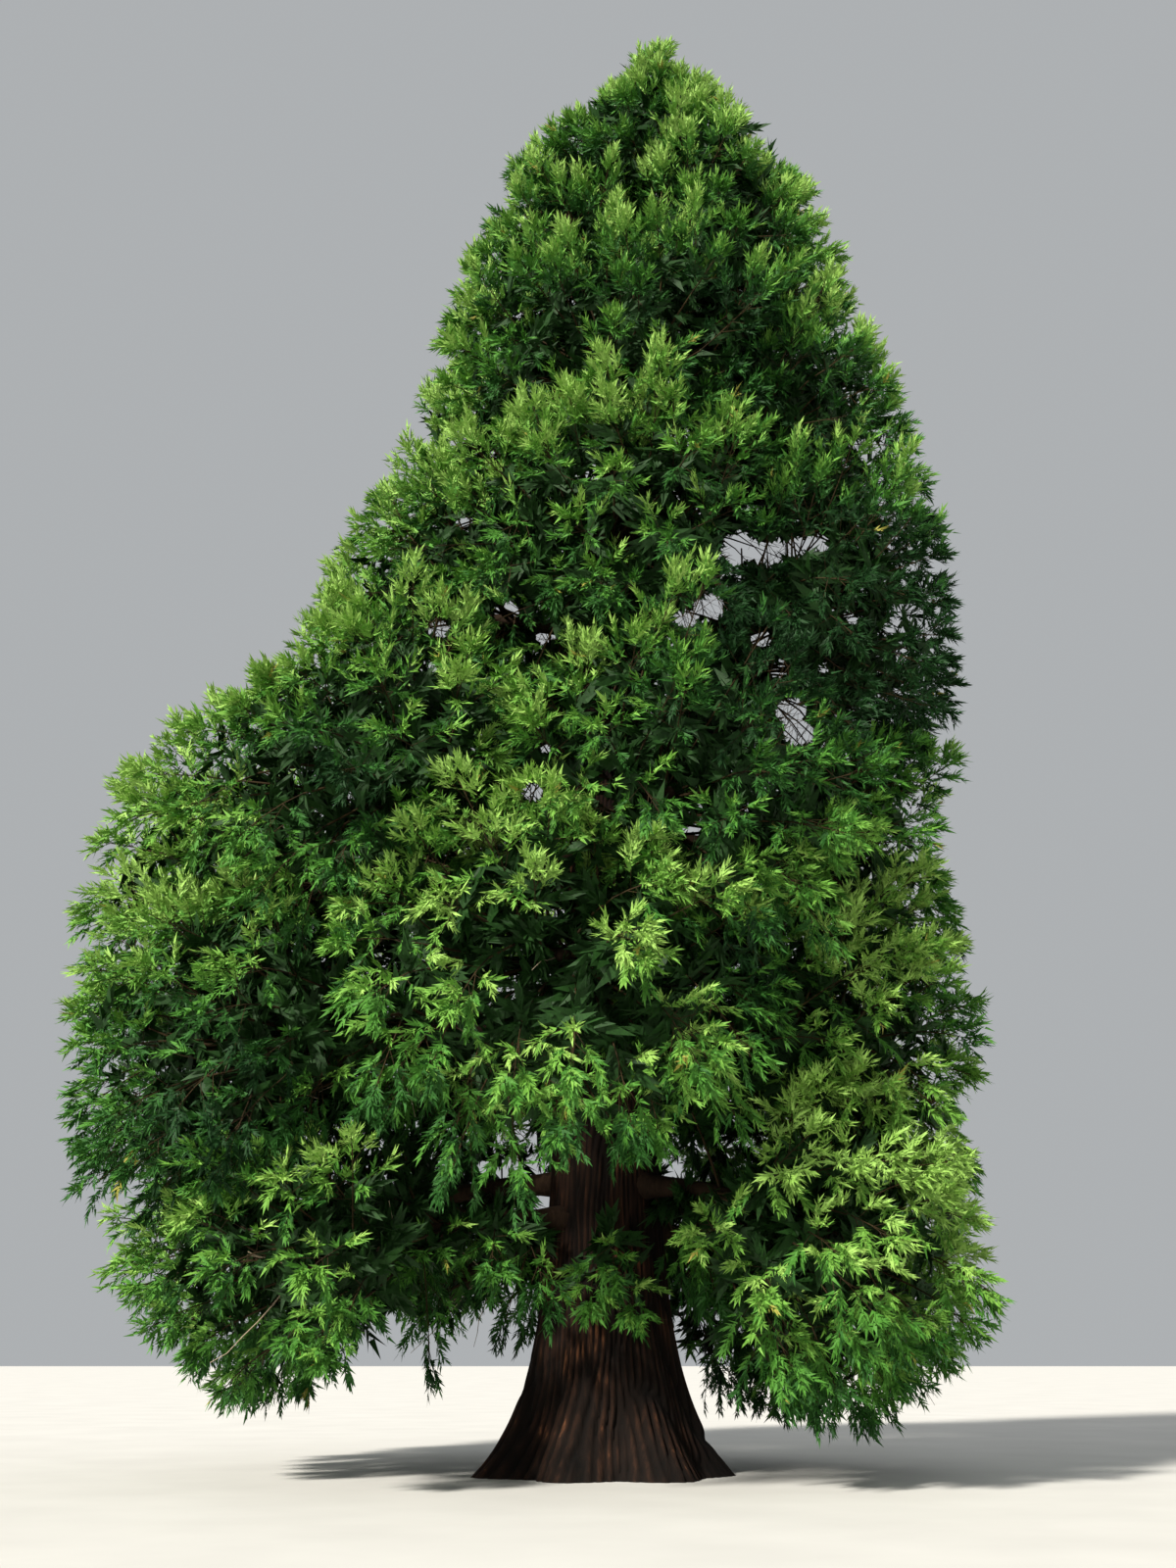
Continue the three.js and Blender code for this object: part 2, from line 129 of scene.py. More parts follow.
# painted light and painted shade by place: x, height, radius, strength
PAINTED_LIGHT_PLACES = (
    (-1.2, 7.8, 2.6, 0.55), (4.0, 4.4, 2.6, 0.55), (4.0, 9.0, 1.6, 0.35), (-7.3, 10.0, 1.3, 0.35),
    (0.6, 17.4, 1.7, 0.3), (-5.3, 3.0, 1.5, 0.15), (-6.3, 5.4, 1.3, -0.6), (-4.6, 11.0, 0.9, -0.9),
    (2.4, 7.6, 0.9, -0.7), (6.1, 7.0, 0.9, -0.6), (3.0, 13.6, 1.7, -0.7), (5.2, 14.0, 3.0, -1.1),
    (2.4, 20.7, 0.9, -0.7), (3.6, 19.0, 1.8, -0.5), (0.5, 23.0, 3.5, -0.3))
HEM = np.array([  # the crown's lower edge
    (-9.0, 3.0), (-7.5, 2.4), (-6.9, 1.5), (-6.2, 1.2), (-4.7, 1.2), (-4.1, 1.9), (-3.4, 2.4),
    (-1.6, 2.5), (-1.1, 4.9), (1.2, 4.9), (1.7, 1.0), (9.0, 1.0)])
LEFT_SIDE = np.array([  # the crown's left side: height, x
    (0.9, -6.7), (1.4, -7.05), (2.6, -7.69), (3.7, -8.19), (4.3, -8.4), (6.8, -8.68), (8.4, -8.79),
    (9.9, -8.8), (10.6, -8.5), (11.4, -8.1), (12.1, -7.4), (12.7, -6.6), (13.2, -5.65), (13.7, -5.36),
    (14.4, -5.09), (15.5, -4.76), (16.9, -3.86), (19.3, -3.14), (21.1, -2.75), (23.3, -1.94), (24.3, -1.64),
    (24.9, -1.04), (25.5, -0.17), (26.0, 0.35), (26.2, 0.67), (27.1, 0.8)])
RIGHT_SIDE = np.array([  # and its right side
    (0.9, 5.39), (1.5, 5.52), (2.7, 6.13), (4.4, 5.85), (5.6, 5.67), (6.0, 6.05), (6.8, 6.16), (8.1, 5.98),
    (9.1, 5.69), (9.8, 5.84), (10.9, 6.12), (12.9, 6.29), (14.7, 6.29), (16.0, 6.25), (16.9, 5.98),
    (19.3, 5.46), (21.1, 4.9), (23.3, 4.19), (24.3, 3.2), (24.9, 2.99), (25.5, 2.75), (26.0, 2.34),
    (26.2, 2.05), (26.4, 1.47), (27.1, 1.41)])

UP = np.array((0.0, 0.0, 1.0))


def unit(vectors):
    """Vectors, one in each row, divided by their lengths."""
    return vectors / np.linalg.norm(vectors, axis=-1, keepdims=True)


def facing(azimuth):
    """The level direction of an azimuth."""
    turn = math.radians(azimuth)
    return np.array((math.sin(turn), -math.cos(turn), 0.0))


def random_from(seed):
    """The minimal standard generator: each state is the last times 16807, modulo 2147483647."""
    state = seed

    def draw():
        nonlocal state
        state = state * 16807 % 2147483647
        return state / 2147483647

    return draw


# The source's rule for the trunk, the masses and their limbs


def crown_section(z):
    """Middle and radius of the crown's round section at a height."""
    left = np.interp(z, CROWN[:, 0], CROWN[:, 1])
    right = np.interp(z, CROWN[:, 0], CROWN[:, 2])
    return (right - left) / 2, (right + left) / 2


def trunk_axis(z):
    """The trunk's middle at heights z: x grows with a power of the height."""
    z = np.asarray(z, float)
    x = TRUNK_LEAN * (np.maximum(z, 0) / HEIGHT) ** LEAN_POWER
    return np.stack((x, np.zeros_like(z), z), axis=-1)


def trunk_radius(z, angle):
    """A tapering stem, plus an exponential flare, times flutes that fade upwards."""
    stem = TIP_RADIUS + STEM_RADIUS * np.maximum(0, 1 - z / TRUNK_TIP) ** TAPER_POWER
    flare = FLARE_REACH * np.exp(-z / FLARE_HEIGHT)
    flute = sum(share * np.cos(waves * angle + turn) for waves, share, turn in FLUTES)
    return (stem + flare) * (1 + FLUTE_DEPTH * np.exp(-z / FLUTE_HEIGHT) * flute)


def plan_mass(name, seed, azimuth, z, tier, half_width):
    """One mass: an egg-shaped space whose axes point outwards, sideways and up."""
    middle, radius = crown_section(z)
    out = facing(azimuth)
    centre = np.array((middle, 0, z)) + out * (radius - tier["radial"])
    slope = math.radians(tier["droop"])
    outward = out * math.cos(slope) - UP * math.sin(slope)
    sideways = np.cross(UP, out)
    return {"name": name, "seed": seed, "tier": tier, "centre": centre, "out": out,
            "axes": np.array((outward, sideways, np.cross(outward, sideways))),
            "half": np.array((tier["radial"], half_width, tier["height"]))}


def plan_crown():
    """All the masses, tier by tier, and the leader."""
    masses = []
    for tier in TIERS:
        step = tier["span"] / (tier["count"] - 1)
        for i in range(tier["count"]):
            draw = random_from(1000 * len(masses) + 77)
            draw()
            azimuth = tier["first"] + i * step + TURN_SHIFT * (2 * draw() - 1)
            z = tier["z"] + (-HEIGHT_SHIFT if i % 2 else HEIGHT_SHIFT) * (0.5 + 0.5 * draw())
            reach = crown_section(z)[1] - tier["radial"]
            half_width = SIDE_OVERLAP * reach * math.tan(math.radians(step) / 2)
            name = f"{tier['name']}_mass_{i + 1}"
            masses.append(plan_mass(name, len(masses) + 1, azimuth, z, tier, half_width))
    leader = plan_mass("leader_mass", len(masses) + 1, 90, LEADER["z"], LEADER, LEADER["radial"])
    leader["centre"] = trunk_axis(LEADER["z"])
    leader["half"] = np.array((LEADER["height"], LEADER["radial"], LEADER["radial"]))
    return masses + [leader]


def support(mass, along):
    """How far an egg reaches along a unit direction, to the plane that touches it there."""
    return np.linalg.norm(mass["half"] * (mass["axes"] @ along))


def build_walls(masses):
    """Flat walls between the masses, under them and before the trunk: (normals, distances) for each."""
    for mass in masses:
        normals, distances = [-UP], [mass["centre"][2] - GROUND_GAP]
        for other in masses:
            between = other["centre"] - mass["centre"]
            distance = np.linalg.norm(between)
            if other is mass:
                continue
            normal = between / distance
            own, theirs = support(mass, normal), support(other, normal)
            if distance <= NEIGHBOUR_RANGE * (own + theirs):
                normals.append(normal)
                distances.append(distance * own / (own + theirs) - CELL_GAP / 2)
        if mass["name"] != "leader_mass":
            base = max(0, mass["centre"][2] - mass["tier"]["height"])
            widest = (1 + FLUTE_DEPTH) * trunk_radius(base, 0)
            to_trunk = trunk_axis(mass["centre"][2]) - mass["centre"]
            normals.append(-mass["out"])
            distances.append(-to_trunk @ mass["out"] - widest - TRUNK_GAP)
        mass["normals"], mass["distances"] = np.array(normals), np.array(distances)


def room(mass, along):
    """The free distance from a mass's middle to its walls along unit directions, one in each row."""
    share = along @ mass["normals"].T
    return np.where(share > 1e-6, mass["distances"] / np.maximum(share, 1e-6), np.inf).min(axis=1)


def is_inside(mass, points, slack=0.0):
    """Whether each point lies within all the walls, pushed out by slack."""
    return ((points - mass["centre"]) @ mass["normals"].T < mass["distances"] + slack).all(axis=-1)


def share_offset(mass, directions, egg_share, wall_share):
    """The egg's surface at a share of its size, or a share of the way to a wall where that is nearer."""
    offset = (directions * mass["half"]) @ mass["axes"]
    length = np.linalg.norm(offset, axis=1)
    along = offset / length[:, None]
    return along * np.minimum(egg_share * length, wall_share * room(mass, along))[:, None]


def core_offset(mass, directions):
    """The core's surface: shares of the egg and of the way to the walls, with slow waves."""
    x, y, z = directions.T
    across, rise, outwards = BILLOW_WAVES
    waves = np.sin(across * y + mass["seed"]) + np.sin(rise * z + outwards * x + mass["seed"])
    return share_offset(mass, directions, CORE_SHARE * (1 + CORE_BILLOW * waves), WALL_SHARE)


def limb_curve(mass):
    """The three control points of the arch that carries a mass, from inside the trunk to its middle."""
    if mass["name"] == "leader_mass":
        return trunk_axis(np.array((TRUNK_TIP - 0.5, (TRUNK_TIP + LEADER["z"]) / 2, LEADER["z"])))
    attach = mass["tier"]["attach"]
    start = trunk_axis(mass["centre"][2] + attach)
    end = mass["centre"] + STEM_END * mass["half"][0] * mass["axes"][0]
    middle = (start + end) / 2 + UP * (ARCH_FOLLOWS * attach + ARCH_RISE * np.linalg.norm(end - start))
    return np.array((start, middle, end))


def spray_units(count):
    """Directions of the sprays: a golden-angle spiral from the mass's outer pole towards its back."""
    index = np.arange(count)
    along = 1 - (index + 0.5) / count * (1 - BACK_LIMIT)
    across = np.sqrt(1 - along ** 2)
    turn = index * GOLDEN_TURN
    return np.stack((along, across * np.cos(turn), across * np.sin(turn)), axis=1)


# Arrays of tubes and blades


def bezier(control, share):
    """Points of quadratic curves: control (..., 3, 3) and shares broadcast against its leading part."""
    share = np.asarray(share)[..., None]
    a, b, c = control[..., 0, :], control[..., 1, :], control[..., 2, :]
    return (1 - share) ** 2 * a + 2 * share * (1 - share) * b + share ** 2 * c


def cross_frame(tangent):
    """Two unit vectors square to each tangent and to each other."""
    helper = np.where(np.abs(tangent[..., 2:]) > 0.95, np.array((1.0, 0, 0)), UP)
    side = unit(np.cross(helper, tangent))
    return side, np.cross(tangent, side)


def tubes(paths, radii, sides):
    """Tubes along paths (N, steps, 3) with radii (N, steps), closed flat at their roots and by a point at
    their far ends.

    Returns vertices (V, 3) and triangles (T, 3)."""
    number, steps = radii.shape
    tangent = unit(np.gradient(paths, axis=1))
    side, up = cross_frame(tangent)
    turn = np.arange(sides) * 2 * np.pi / sides
    ring = np.cos(turn)[:, None] * side[:, :, None, :] + np.sin(turn)[:, None] * up[:, :, None, :]
    points = paths[:, :, None, :] + radii[:, :, None, None] * ring
    tips = paths[:, -1] + tangent[:, -1] * radii[:, -1, None]
    vertices = np.concatenate((points.reshape(number, -1, 3), tips[:, None]), axis=1)
    step, edge = np.meshgrid(np.arange(steps - 1), np.arange(sides), indexing="ij")
    following = (edge + 1) % sides
    a, b = step * sides + edge, step * sides + following
    c, d = a + sides, b + sides
    walls = np.concatenate((np.stack((a, b, d), -1).reshape(-1, 3), np.stack((a, d, c), -1).reshape(-1, 3)))
    last = (steps - 1) * sides
    around = np.arange(sides)
    cap = np.stack((last + around, last + (around + 1) % sides, np.full(sides, steps * sides)), -1)
    foot = np.stack((np.zeros(sides - 2, int), around[2:], around[1:-1]), -1)
    one = np.concatenate((walls, cap, foot))
    per = steps * sides + 1
    triangles = (one[None] + per * np.arange(number)[:, None, None]).reshape(-1, 3)
    return vertices.reshape(-1, 3), triangles


def join(parts):
    """Several (vertices, triangles) as one."""
    vertices, triangles, base = [], [], 0
    for points, faces in parts:
        vertices.append(points)
        triangles.append(faces + base)
        base += len(points)
    return np.concatenate(vertices), np.concatenate(triangles)


def make_piece(name, vertices, faces, material, slot, smooth=False):
    """A mesh object from arrays, riding on the root. All its faces have the same number of corners."""
    corners = faces.shape[1]
    mesh = bpy.data.meshes.new(name)
    mesh.vertices.add(len(vertices))
    mesh.vertices.foreach_set("co", vertices.astype(np.float32).ravel())
    mesh.loops.add(faces.size)
    mesh.loops.foreach_set("vertex_index", faces.astype(np.int32).ravel())
    mesh.polygons.add(len(faces))
    mesh.polygons.foreach_set("loop_start", np.arange(0, faces.size, corners, dtype=np.int32))
    mesh.polygons.foreach_set("use_smooth", np.full(len(faces), smooth))
    mesh.update(calc_edges=True)
    mesh.materials.append(material)
    piece = bpy.data.objects.new(name, mesh)
    bpy.context.scene.collection.objects.link(piece)
    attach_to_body(piece, "root")
    return piece


# Materials


def linear(colour):
    """An sRGB hex colour as linear red, green, blue and alpha."""
    values = [int(colour[i:i + 2], 16) / 255 for i in (1, 3, 5)]
    return [v / 12.92 if v <= 0.04045 else ((v + 0.055) / 1.055) ** 2.4 for v in values] + [1.0]


def node(tree, kind, links=None, **settings):
    """Adds a shader node with its settings, and links or sets its inputs by name."""
    made = tree.nodes.new(kind)
    for word, value in settings.items():
        setattr(made, word, value)
    for word, value in (links or {}).items():
        if isinstance(value, bpy.types.NodeSocket):
            tree.links.new(value, made.inputs[word])
        else:
            made.inputs[word].default_value = value
    return made


def ramp(tree, factor, stops):
    """A colour ramp over (position, hex colour) stops. Returns its colour socket."""
    made = node(tree, "ShaderNodeValToRGB", {"Fac": factor})
    elements = made.color_ramp.elements
    while len(elements) < len(stops):
        elements.new(0.5)
    for element, (position, colour) in zip(elements, stops):
        element.position = position
        element.color = linear(colour)
    return made.outputs["Color"]


def new_material(name):
    """A material with only a surface and an output in its node tree, and the object's coordinates."""
    material = bpy.data.materials.new(name)
    material.use_nodes = True
    tree = material.node_tree
    tree.nodes.clear()
    surface = node(tree, "ShaderNodeBsdfPrincipled")
    node(tree, "ShaderNodeOutputMaterial", {"Surface": surface.outputs["BSDF"]})
    place = node(tree, "ShaderNodeTexCoord").outputs["Object"]
    return material, tree, surface, place


LEAF_PATCH = 0.4  # metres, the lighter and darker patches of a green
LEAF_GRAIN = 0.03  # metres, coarser than the real scales of 3 to 6 mm, so that the grain shows


def leaf_material(name, dark, light):
    """Scale leaves: a dull waxy green that wanders between two near tones, in patches and in grains."""
    material, tree, surface, place = new_material(name)
    broad = node(tree, "ShaderNodeTexNoise", {"Vector": place, "Scale": 1 / LEAF_PATCH, "Detail": 2.0})
    fine = node(tree, "ShaderNodeTexNoise", {"Vector": place, "Scale": 1 / LEAF_GRAIN, "Detail": 1.0})
    blend = node(tree, "ShaderNodeMix",
                 {"Factor": 0.45, "A": broad.outputs["Fac"], "B": fine.outputs["Fac"]})
    colour = ramp(tree, blend.outputs["Result"], ((0.35, dark), (0.65, light)))
    tree.links.new(colour, surface.inputs["Base Color"])
    bump = node(tree, "ShaderNodeBump", {"Height": fine.outputs["Fac"], "Strength": 0.35, "Distance": 0.004})
    tree.links.new(bump.outputs["Normal"], surface.inputs["Normal"])
    surface.inputs["Roughness"].default_value = 0.62
    surface.inputs["Specular IOR Level"].default_value = 0.2
    return material


BARK_PATCH = 0.9  # metres, weathered patches of bark; on the trunk they also give painted shade and painted sunlit patches
RIDGE_AND_FURROW_SHADE = "ridge_and_painted_furrow_shade"  # the name of the trunk's attribute: 0 in its furrows, 1 on its ridges; low values paint shade into the furrows, over their own darker bark


def bark_material(name, stops, strand, grain, depth, ridge_share=0.0):
    """Fibrous bark: strands of a width, stretched ten times along Z, with finer grain in the bump.

    Widths and depth are metres. A share of the tone follows the mesh's own ridges, which are lighter than
    its furrows: the furrows' own darker bark, deepened with painted shade."""
    material, tree, surface, place = new_material(name)
    stretched = node(tree, "ShaderNodeMapping", {"Vector": place, "Scale": (1, 1, 0.1)}).outputs["Vector"]
    strands = node(tree, "ShaderNodeTexNoise",
                   {"Vector": stretched, "Scale": 1 / strand, "Detail": 5.0, "Roughness": 0.6})
    patches = node(tree, "ShaderNodeTexNoise", {"Vector": place, "Scale": 1 / BARK_PATCH, "Detail": 3.0})
    blend = node(tree, "ShaderNodeMix",
                 {"Factor": 0.5, "A": strands.outputs["Fac"], "B": patches.outputs["Fac"]})
    if ridge_share:
        ridges = node(tree, "ShaderNodeAttribute", attribute_name=RIDGE_AND_FURROW_SHADE)
        blend = node(tree, "ShaderNodeMix",
                     {"Factor": ridge_share, "A": blend.outputs["Result"], "B": ridges.outputs["Fac"]})
    tree.links.new(ramp(tree, blend.outputs["Result"], stops), surface.inputs["Base Color"])
    fibres = node(tree, "ShaderNodeTexNoise", {"Vector": stretched, "Scale": 1 / grain, "Detail": 4.0})
    first = node(tree, "ShaderNodeBump",
                 {"Height": strands.outputs["Fac"], "Strength": 0.8, "Distance": depth})
    second = node(tree, "ShaderNodeBump", {"Height": fibres.outputs["Fac"], "Strength": 0.6,
                                           "Distance": depth / 3, "Normal": first.outputs["Normal"]})
    tree.links.new(second.outputs["Normal"], surface.inputs["Normal"])
    surface.inputs["Roughness"].default_value = 0.93
    surface.inputs["Specular IOR Level"].default_value = 0.2
    return material


# The trunk's bark is thick, soft and stringy: near black in the furrows and red brown on worn ridges. Its
# tones are darkened as painted shade of the crown, and its lightest tone gives painted sunlit patches. The
# limbs' is thinner and duller, twigs are plain brown, and dead twigs are bleached.
TRUNK_BARK = bark_material(
    "trunk_bark", ((0.32, "#090604"), (0.54, "#170e09"), (0.65, "#2f1d13"), (0.78, "#8a5a3c")), 0.09, 0.02,
    0.02, ridge_share=0.22)
LIMB_BARK = bark_material(
    "limb_bark", ((0.3, "#17100b"), (0.55, "#33251a"), (0.8, "#5c4735")), 0.05, 0.012, 0.008)
TWIG_BARK = bark_material("twig_bark", ((0.3, "#231a10"), (0.7, "#46371f")), 0.02, 0.006, 0.002)
DEAD_BARK = bark_material("dead_twig_bark", ((0.3, "#8b7a66"), (0.7, "#c9b89d")), 0.02, 0.006, 0.002)

# Greens from the brightest tips to the innermost leaves, and the few tinted sprays: name, share, two tones.
# The first five are lit and shaded tones of one green, dealt out by painted light: painted sunlight towards
# the tips and tops of the tufts, with the tips' own fresher green, and painted shade deeper in. The inner
# green is painted shade on the inner fans.
LEAF_KINDS = (
    ("leaves_tip_green_painted_sunlit", 0.22, "#7ba344", "#9ec466"),
    ("leaves_fresh_green_painted_lit", 0.23, "#588a30", "#74a345"),
    ("leaves_mid_green", 0.24, "#3b6f24", "#508532"),
    ("leaves_deep_green_painted_shade", 0.2, "#214c1a", "#306024"),
    ("leaves_shade_green", 0.11, "#122f12", "#1c421b"),
    ("leaves_inner_green_painted_shade", 0, "#122b0d", "#204316"),
    ("leaves_tinted", 0, "#86843a", "#a39d4a"),
)

# Trunk

BARK_SIDES = 256
BARK_RINGS = 250
RING_SPREAD = (0.22, 0.78, 2.6)  # heights of the rings: a share of them even, the rest by this power
RIDGE_WAVES = (18, 40)  # furrows round the trunk
FIBRE_WAVES = (60, 120)
RIDGE_RISE = 4.5  # radians a metre up
FIBRE_RISE = 5.0
FURROW_DEPTH = 0.08
FURROW_WIDTH = 0.3  # of the bell curve, in the wave noise's own measure
FURROW_SHADE_WIDTH = 0.45  # and of the dark tone in the furrow: painted shade over the furrow's own darker bark
FIBRE_DEPTH = 0.012
FULL_DEPTH_RADIUS = 1.1  # furrows grow shallower where the trunk is thinner than this


def wave_noise(angle, z, waves, rise, count, seed):
    """A sum of sines: whole numbers of waves round the trunk, and up to rise radians a metre up it."""
    rng = np.random.default_rng(seed)
    total = np.zeros(np.broadcast(angle, z).shape)
    for _ in range(count):
        turn, climb, start = rng.integers(*waves), rng.uniform(-rise, rise), rng.uniform(0, 2 * np.pi)
        total += np.sin(turn * angle + climb * z + start)
    return total / math.sqrt(count)


def make_trunk():
    """The trunk's grid: rings close together low down, pushed inwards at the furrows between the ridges.

    A furrow runs where a slow wave noise crosses zero; a bell curve about that gives its section. A flat
    cut closes the foot, and a low cone closes the tip."""
    even, rest, power = RING_SPREAD
    share = np.linspace(0, 1, BARK_RINGS)
    z = (TRUNK_TIP * (even * share + rest * share ** power))[:, None]
    ring = np.arange(BARK_SIDES)
    following = (ring + 1) % BARK_SIDES
    angle = (ring * 2 * np.pi / BARK_SIDES)[None]
    ridges = wave_noise(angle, z, RIDGE_WAVES, RIDGE_RISE, 9, 5)
    fibres = wave_noise(angle, z, FIBRE_WAVES, FIBRE_RISE, 10, 6)
    wide = trunk_radius(z, angle)
    furrows = FURROW_DEPTH * np.exp(-(ridges / FURROW_WIDTH) ** 2)
    depth = furrows + FIBRE_DEPTH * (0.5 + 0.5 * np.tanh(fibres))
    radius = wide - depth * np.minimum(1, wide / FULL_DEPTH_RADIUS)
    x = trunk_axis(z[:, 0])[:, 0:1] + radius * np.cos(angle)
    y = radius * np.sin(angle)
    grid = np.stack((x, y, np.broadcast_to(z, x.shape)), axis=-1).reshape(-1, 3)
    first = BARK_SIDES * np.arange(BARK_RINGS - 1)[:, None]
    a, b = first + ring, first + following
    c, d = a + BARK_SIDES, b + BARK_SIDES
    walls = np.concatenate((np.stack((a, b, d), -1), np.stack((a, d, c), -1))).reshape(-1, 3)
    last = len(grid) - BARK_SIDES
    cut = np.stack((np.full(BARK_SIDES, len(grid)), following, ring), -1)
    tip = np.stack((last + ring, last + following, np.full(BARK_SIDES, len(grid) + 1)), -1)
    ends = trunk_axis(np.array((0.0, TRUNK_TIP + TIP_RADIUS)))
    vertices, triangles = np.concatenate((grid, ends)), np.concatenate((walls, cut, tip))
    piece = make_piece("trunk_with_bark", vertices, triangles, TRUNK_BARK, "trunk_bark", smooth=True)
    # the ridge attribute: near 0 in the furrows, where painted shade darkens the bark over its own darker
    # tone
    ridge_and_painted_furrow_shade = np.append(1 - np.exp(-(ridges / FURROW_SHADE_WIDTH) ** 2), (1, 1)).astype(np.float32)
    piece.data.attributes.new(RIDGE_AND_FURROW_SHADE, "FLOAT", "POINT").data.foreach_set("value", ridge_and_painted_furrow_shade)
    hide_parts("trunk")


# Limbs and branches

LIMB_SIDES = 12
LIMB_STEPS = 22
KNOTS = 0.05  # how unevenly thick the limbs are
BRANCH_ROOT = 0.03
BRANCH_TIP = 0.013
BRANCH_STEPS = 4


def make_limbs(masses):
    """Every mass's limb as a tapering tube with a collar and a slightly knotty surface."""
    share = np.linspace(0, 1, LIMB_STEPS)
    paths = np.array([bezier(mass["curve"], share) for mass in masses])
    limb = np.array([mass["tier"]["limb"] for mass in masses])[:, None]
    start = paths[:, :1]
    past = np.maximum(0, np.linalg.norm(paths - start, axis=2) - trunk_radius(paths[:, :, 2], 0)) / limb
    radii = limb * (1 - (1 - LIMB_TAPER) * share) * (1 + COLLAR * np.exp(-past))
    rng = np.random.default_rng(11)
    radii *= 1 + KNOTS * rng.standard_normal(radii.shape)
    vertices, triangles = tubes(paths, radii, LIMB_SIDES)
    piece = make_piece("limbs_with_bark", vertices, triangles, LIMB_BARK, "bough_bark", smooth=True)
    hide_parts(*[mass["name"].replace("mass", "bough") for mass in masses if mass["tier"]["bough"]])


# Tufts: the source's sprays, with smaller ones between them

FILLING = 3.3  # smaller tufts against the number of the source's sprays
FILLING_SIZE = 0.8
SHELL = 1.8  # smaller tufts whose tips would lie deeper in the crown than this are left out
WALL_SLACK = 0.3
TUFT_OVERHANG = 0.2  # how far a tuft's tip may stand out of the crown's outline
AXIS_SHARE = 0.84  # a tuft's axis against the source's spray, whose length its leaves complete
SPROUTS = (  # tufts on the trunk's front: azimuth, height, length
    (4, 3.3, 1.3), (-8, 2.9, 1.2), (14, 2.7, 1.1))
SPROUT_DROOP = 0.35
STALK = 0.3  # how far a sprout's or hanging tuft's root stands off the bark
HANGING = (0.22, 0.3, 0.38, 0.46, 0.54, 0.62)  # tufts hang from the boughs at these shares of their length
HANGING_LENGTH = 1.3
HANGING_WAY = (0.4, 0.7, 0.45)  # outwards, down, and at random
BRANCH_SPAN = (0.4, 0.98)  # the tufts' branches leave the limb between these shares of its length
BRANCH_BEND = 0.4
INNER_BRANCHES = 12  # short branches on each limb, for the fans that darken the crown's inside with painted shade
INNER_SPAN = (0.35, 0.9)
INNER_LENGTH = (0.8, 1.6)
INNER_DEPTH = 0.4  # how deep they stay under the crown's outline


def crown_depth(points):
    """How deep each point lies under the crown's outline, measured level."""
    middle, radius = crown_section(points[..., 2])
    return radius - np.hypot(points[..., 0] - middle, points[..., 1])


def seen_at(points):
    """Where the lines of sight to the points cross the crown's middle: x and height."""
    away = points - EYE
    crossing = EYE - away * (EYE[1] / away[..., 1:2])
    return crossing[..., 0], crossing[..., 2]


def is_between_sides(x, z):
    """Whether places seen at x and height z lie between the crown's sides."""
    return (x > np.interp(z, *LEFT_SIDE.T)) & (x < np.interp(z, *RIGHT_SIDE.T)) & (z < HEIGHT)


def is_in_view_of_crown(points):
    """Whether each point is seen between the crown's sides and above its lower edge."""
    x, z = seen_at(points)
    return is_between_sides(x, z) & (z > np.interp(x, *HEM.T))


def plan_tufts(mass, count, size, seed, shell):
    """Rows of root, heading and length for a mass's tufts, by the source's rule for its sprays.

    A tuft whose tip would leave the crown's outline is skipped."""
    units = spray_units(count)
    straight = units @ mass["axes"]
    reach = np.linalg.norm(share_offset(mass, units, 1, 1), axis=1)
    roots = mass["centre"] + ROOT_SUNK * core_offset(mass, units)
    draw = random_from(seed)
    rows = []
    for i in range(count):
        aside = np.array([2 * draw() - 1 for _ in range(3)])
        heading = straight[i] + SPRAY_SPREAD * aside + SPRAY_OUTWARD * mass["axes"][0]
        heading = unit(heading + UP * SPRAY_LIFT * np.sign(units[i, 2]))
        length = size * SPRAY_LENGTH * reach[i] * (1 + LENGTH_SPREAD * (draw() - 0.5))
        [draw() for _ in range(3)]
        if mass["name"] == "leader_mass" and i == 0:
            heading = trunk_axis(HEIGHT) - roots[i]
            length = np.linalg.norm(heading)
            heading = unit(heading)
        for shorter in SHORTER:
            points = roots[i] + heading * length * shorter * np.array((0.6, 1.0))[:, None]
            inside = is_inside(mass, points, WALL_SLACK).all()
            if inside and -TUFT_OVERHANG < crown_depth(points[1]) < shell and is_in_view_of_crown(points[1]):
                rows.append((roots[i], heading, length * shorter))
                break
    return rows


def sprout(azimuth, z, length):
    """Root, heading and length of a tuft on the trunk's side, which hangs a little."""
    out = facing(azimuth)
    angle = math.atan2(out[1], out[0])
    return trunk_axis(z) + trunk_radius(z, angle) * out, unit(out - SPROUT_DROOP * UP), length


def grow_tufts(masses):
    """All tufts as arrays: where their branch leaves the limb, root, heading and length."""
    rng = np.random.default_rng(21)
    starts, rows = [], []
    for mass in masses:
        count = mass["tier"]["sprays"]
        found = plan_tufts(mass, count, 1.0, mass["seed"] * 7919 + 13, np.inf)
        found += plan_tufts(mass, int(FILLING * count), FILLING_SIZE, mass["seed"] * 104729 + 7, SHELL)
        starts.append(bezier(mass["curve"], rng.uniform(*BRANCH_SPAN, len(found))))
        rows += found
    sprouts = [sprout(*row) for row in SPROUTS]
    outwards, down, aside = HANGING_WAY
    for mass in masses:
        for share in HANGING if mass["tier"]["bough"] else ():
            heading = unit(rng.normal(outwards * mass["out"] - down * UP, aside))
            sprouts.append((bezier(mass["curve"], share) + STALK * heading, heading, HANGING_LENGTH))
    starts.append([root - STALK * heading for root, heading, _ in sprouts])
    root, heading, length = (np.array(column) for column in zip(*rows, *sprouts))
    return {"start": np.concatenate(starts), "root": root, "heading": heading, "length": AXIS_SHARE * length}


def branch_control(tufts):
    """Control points of the curves that lead from the limbs to the tufts' roots."""
    start, root = tufts["start"], tufts["root"]
    bend = root - BRANCH_BEND * np.linalg.norm(root - start, axis=1, keepdims=True) * tufts["heading"]
    return np.stack((start, bend, root), axis=1)


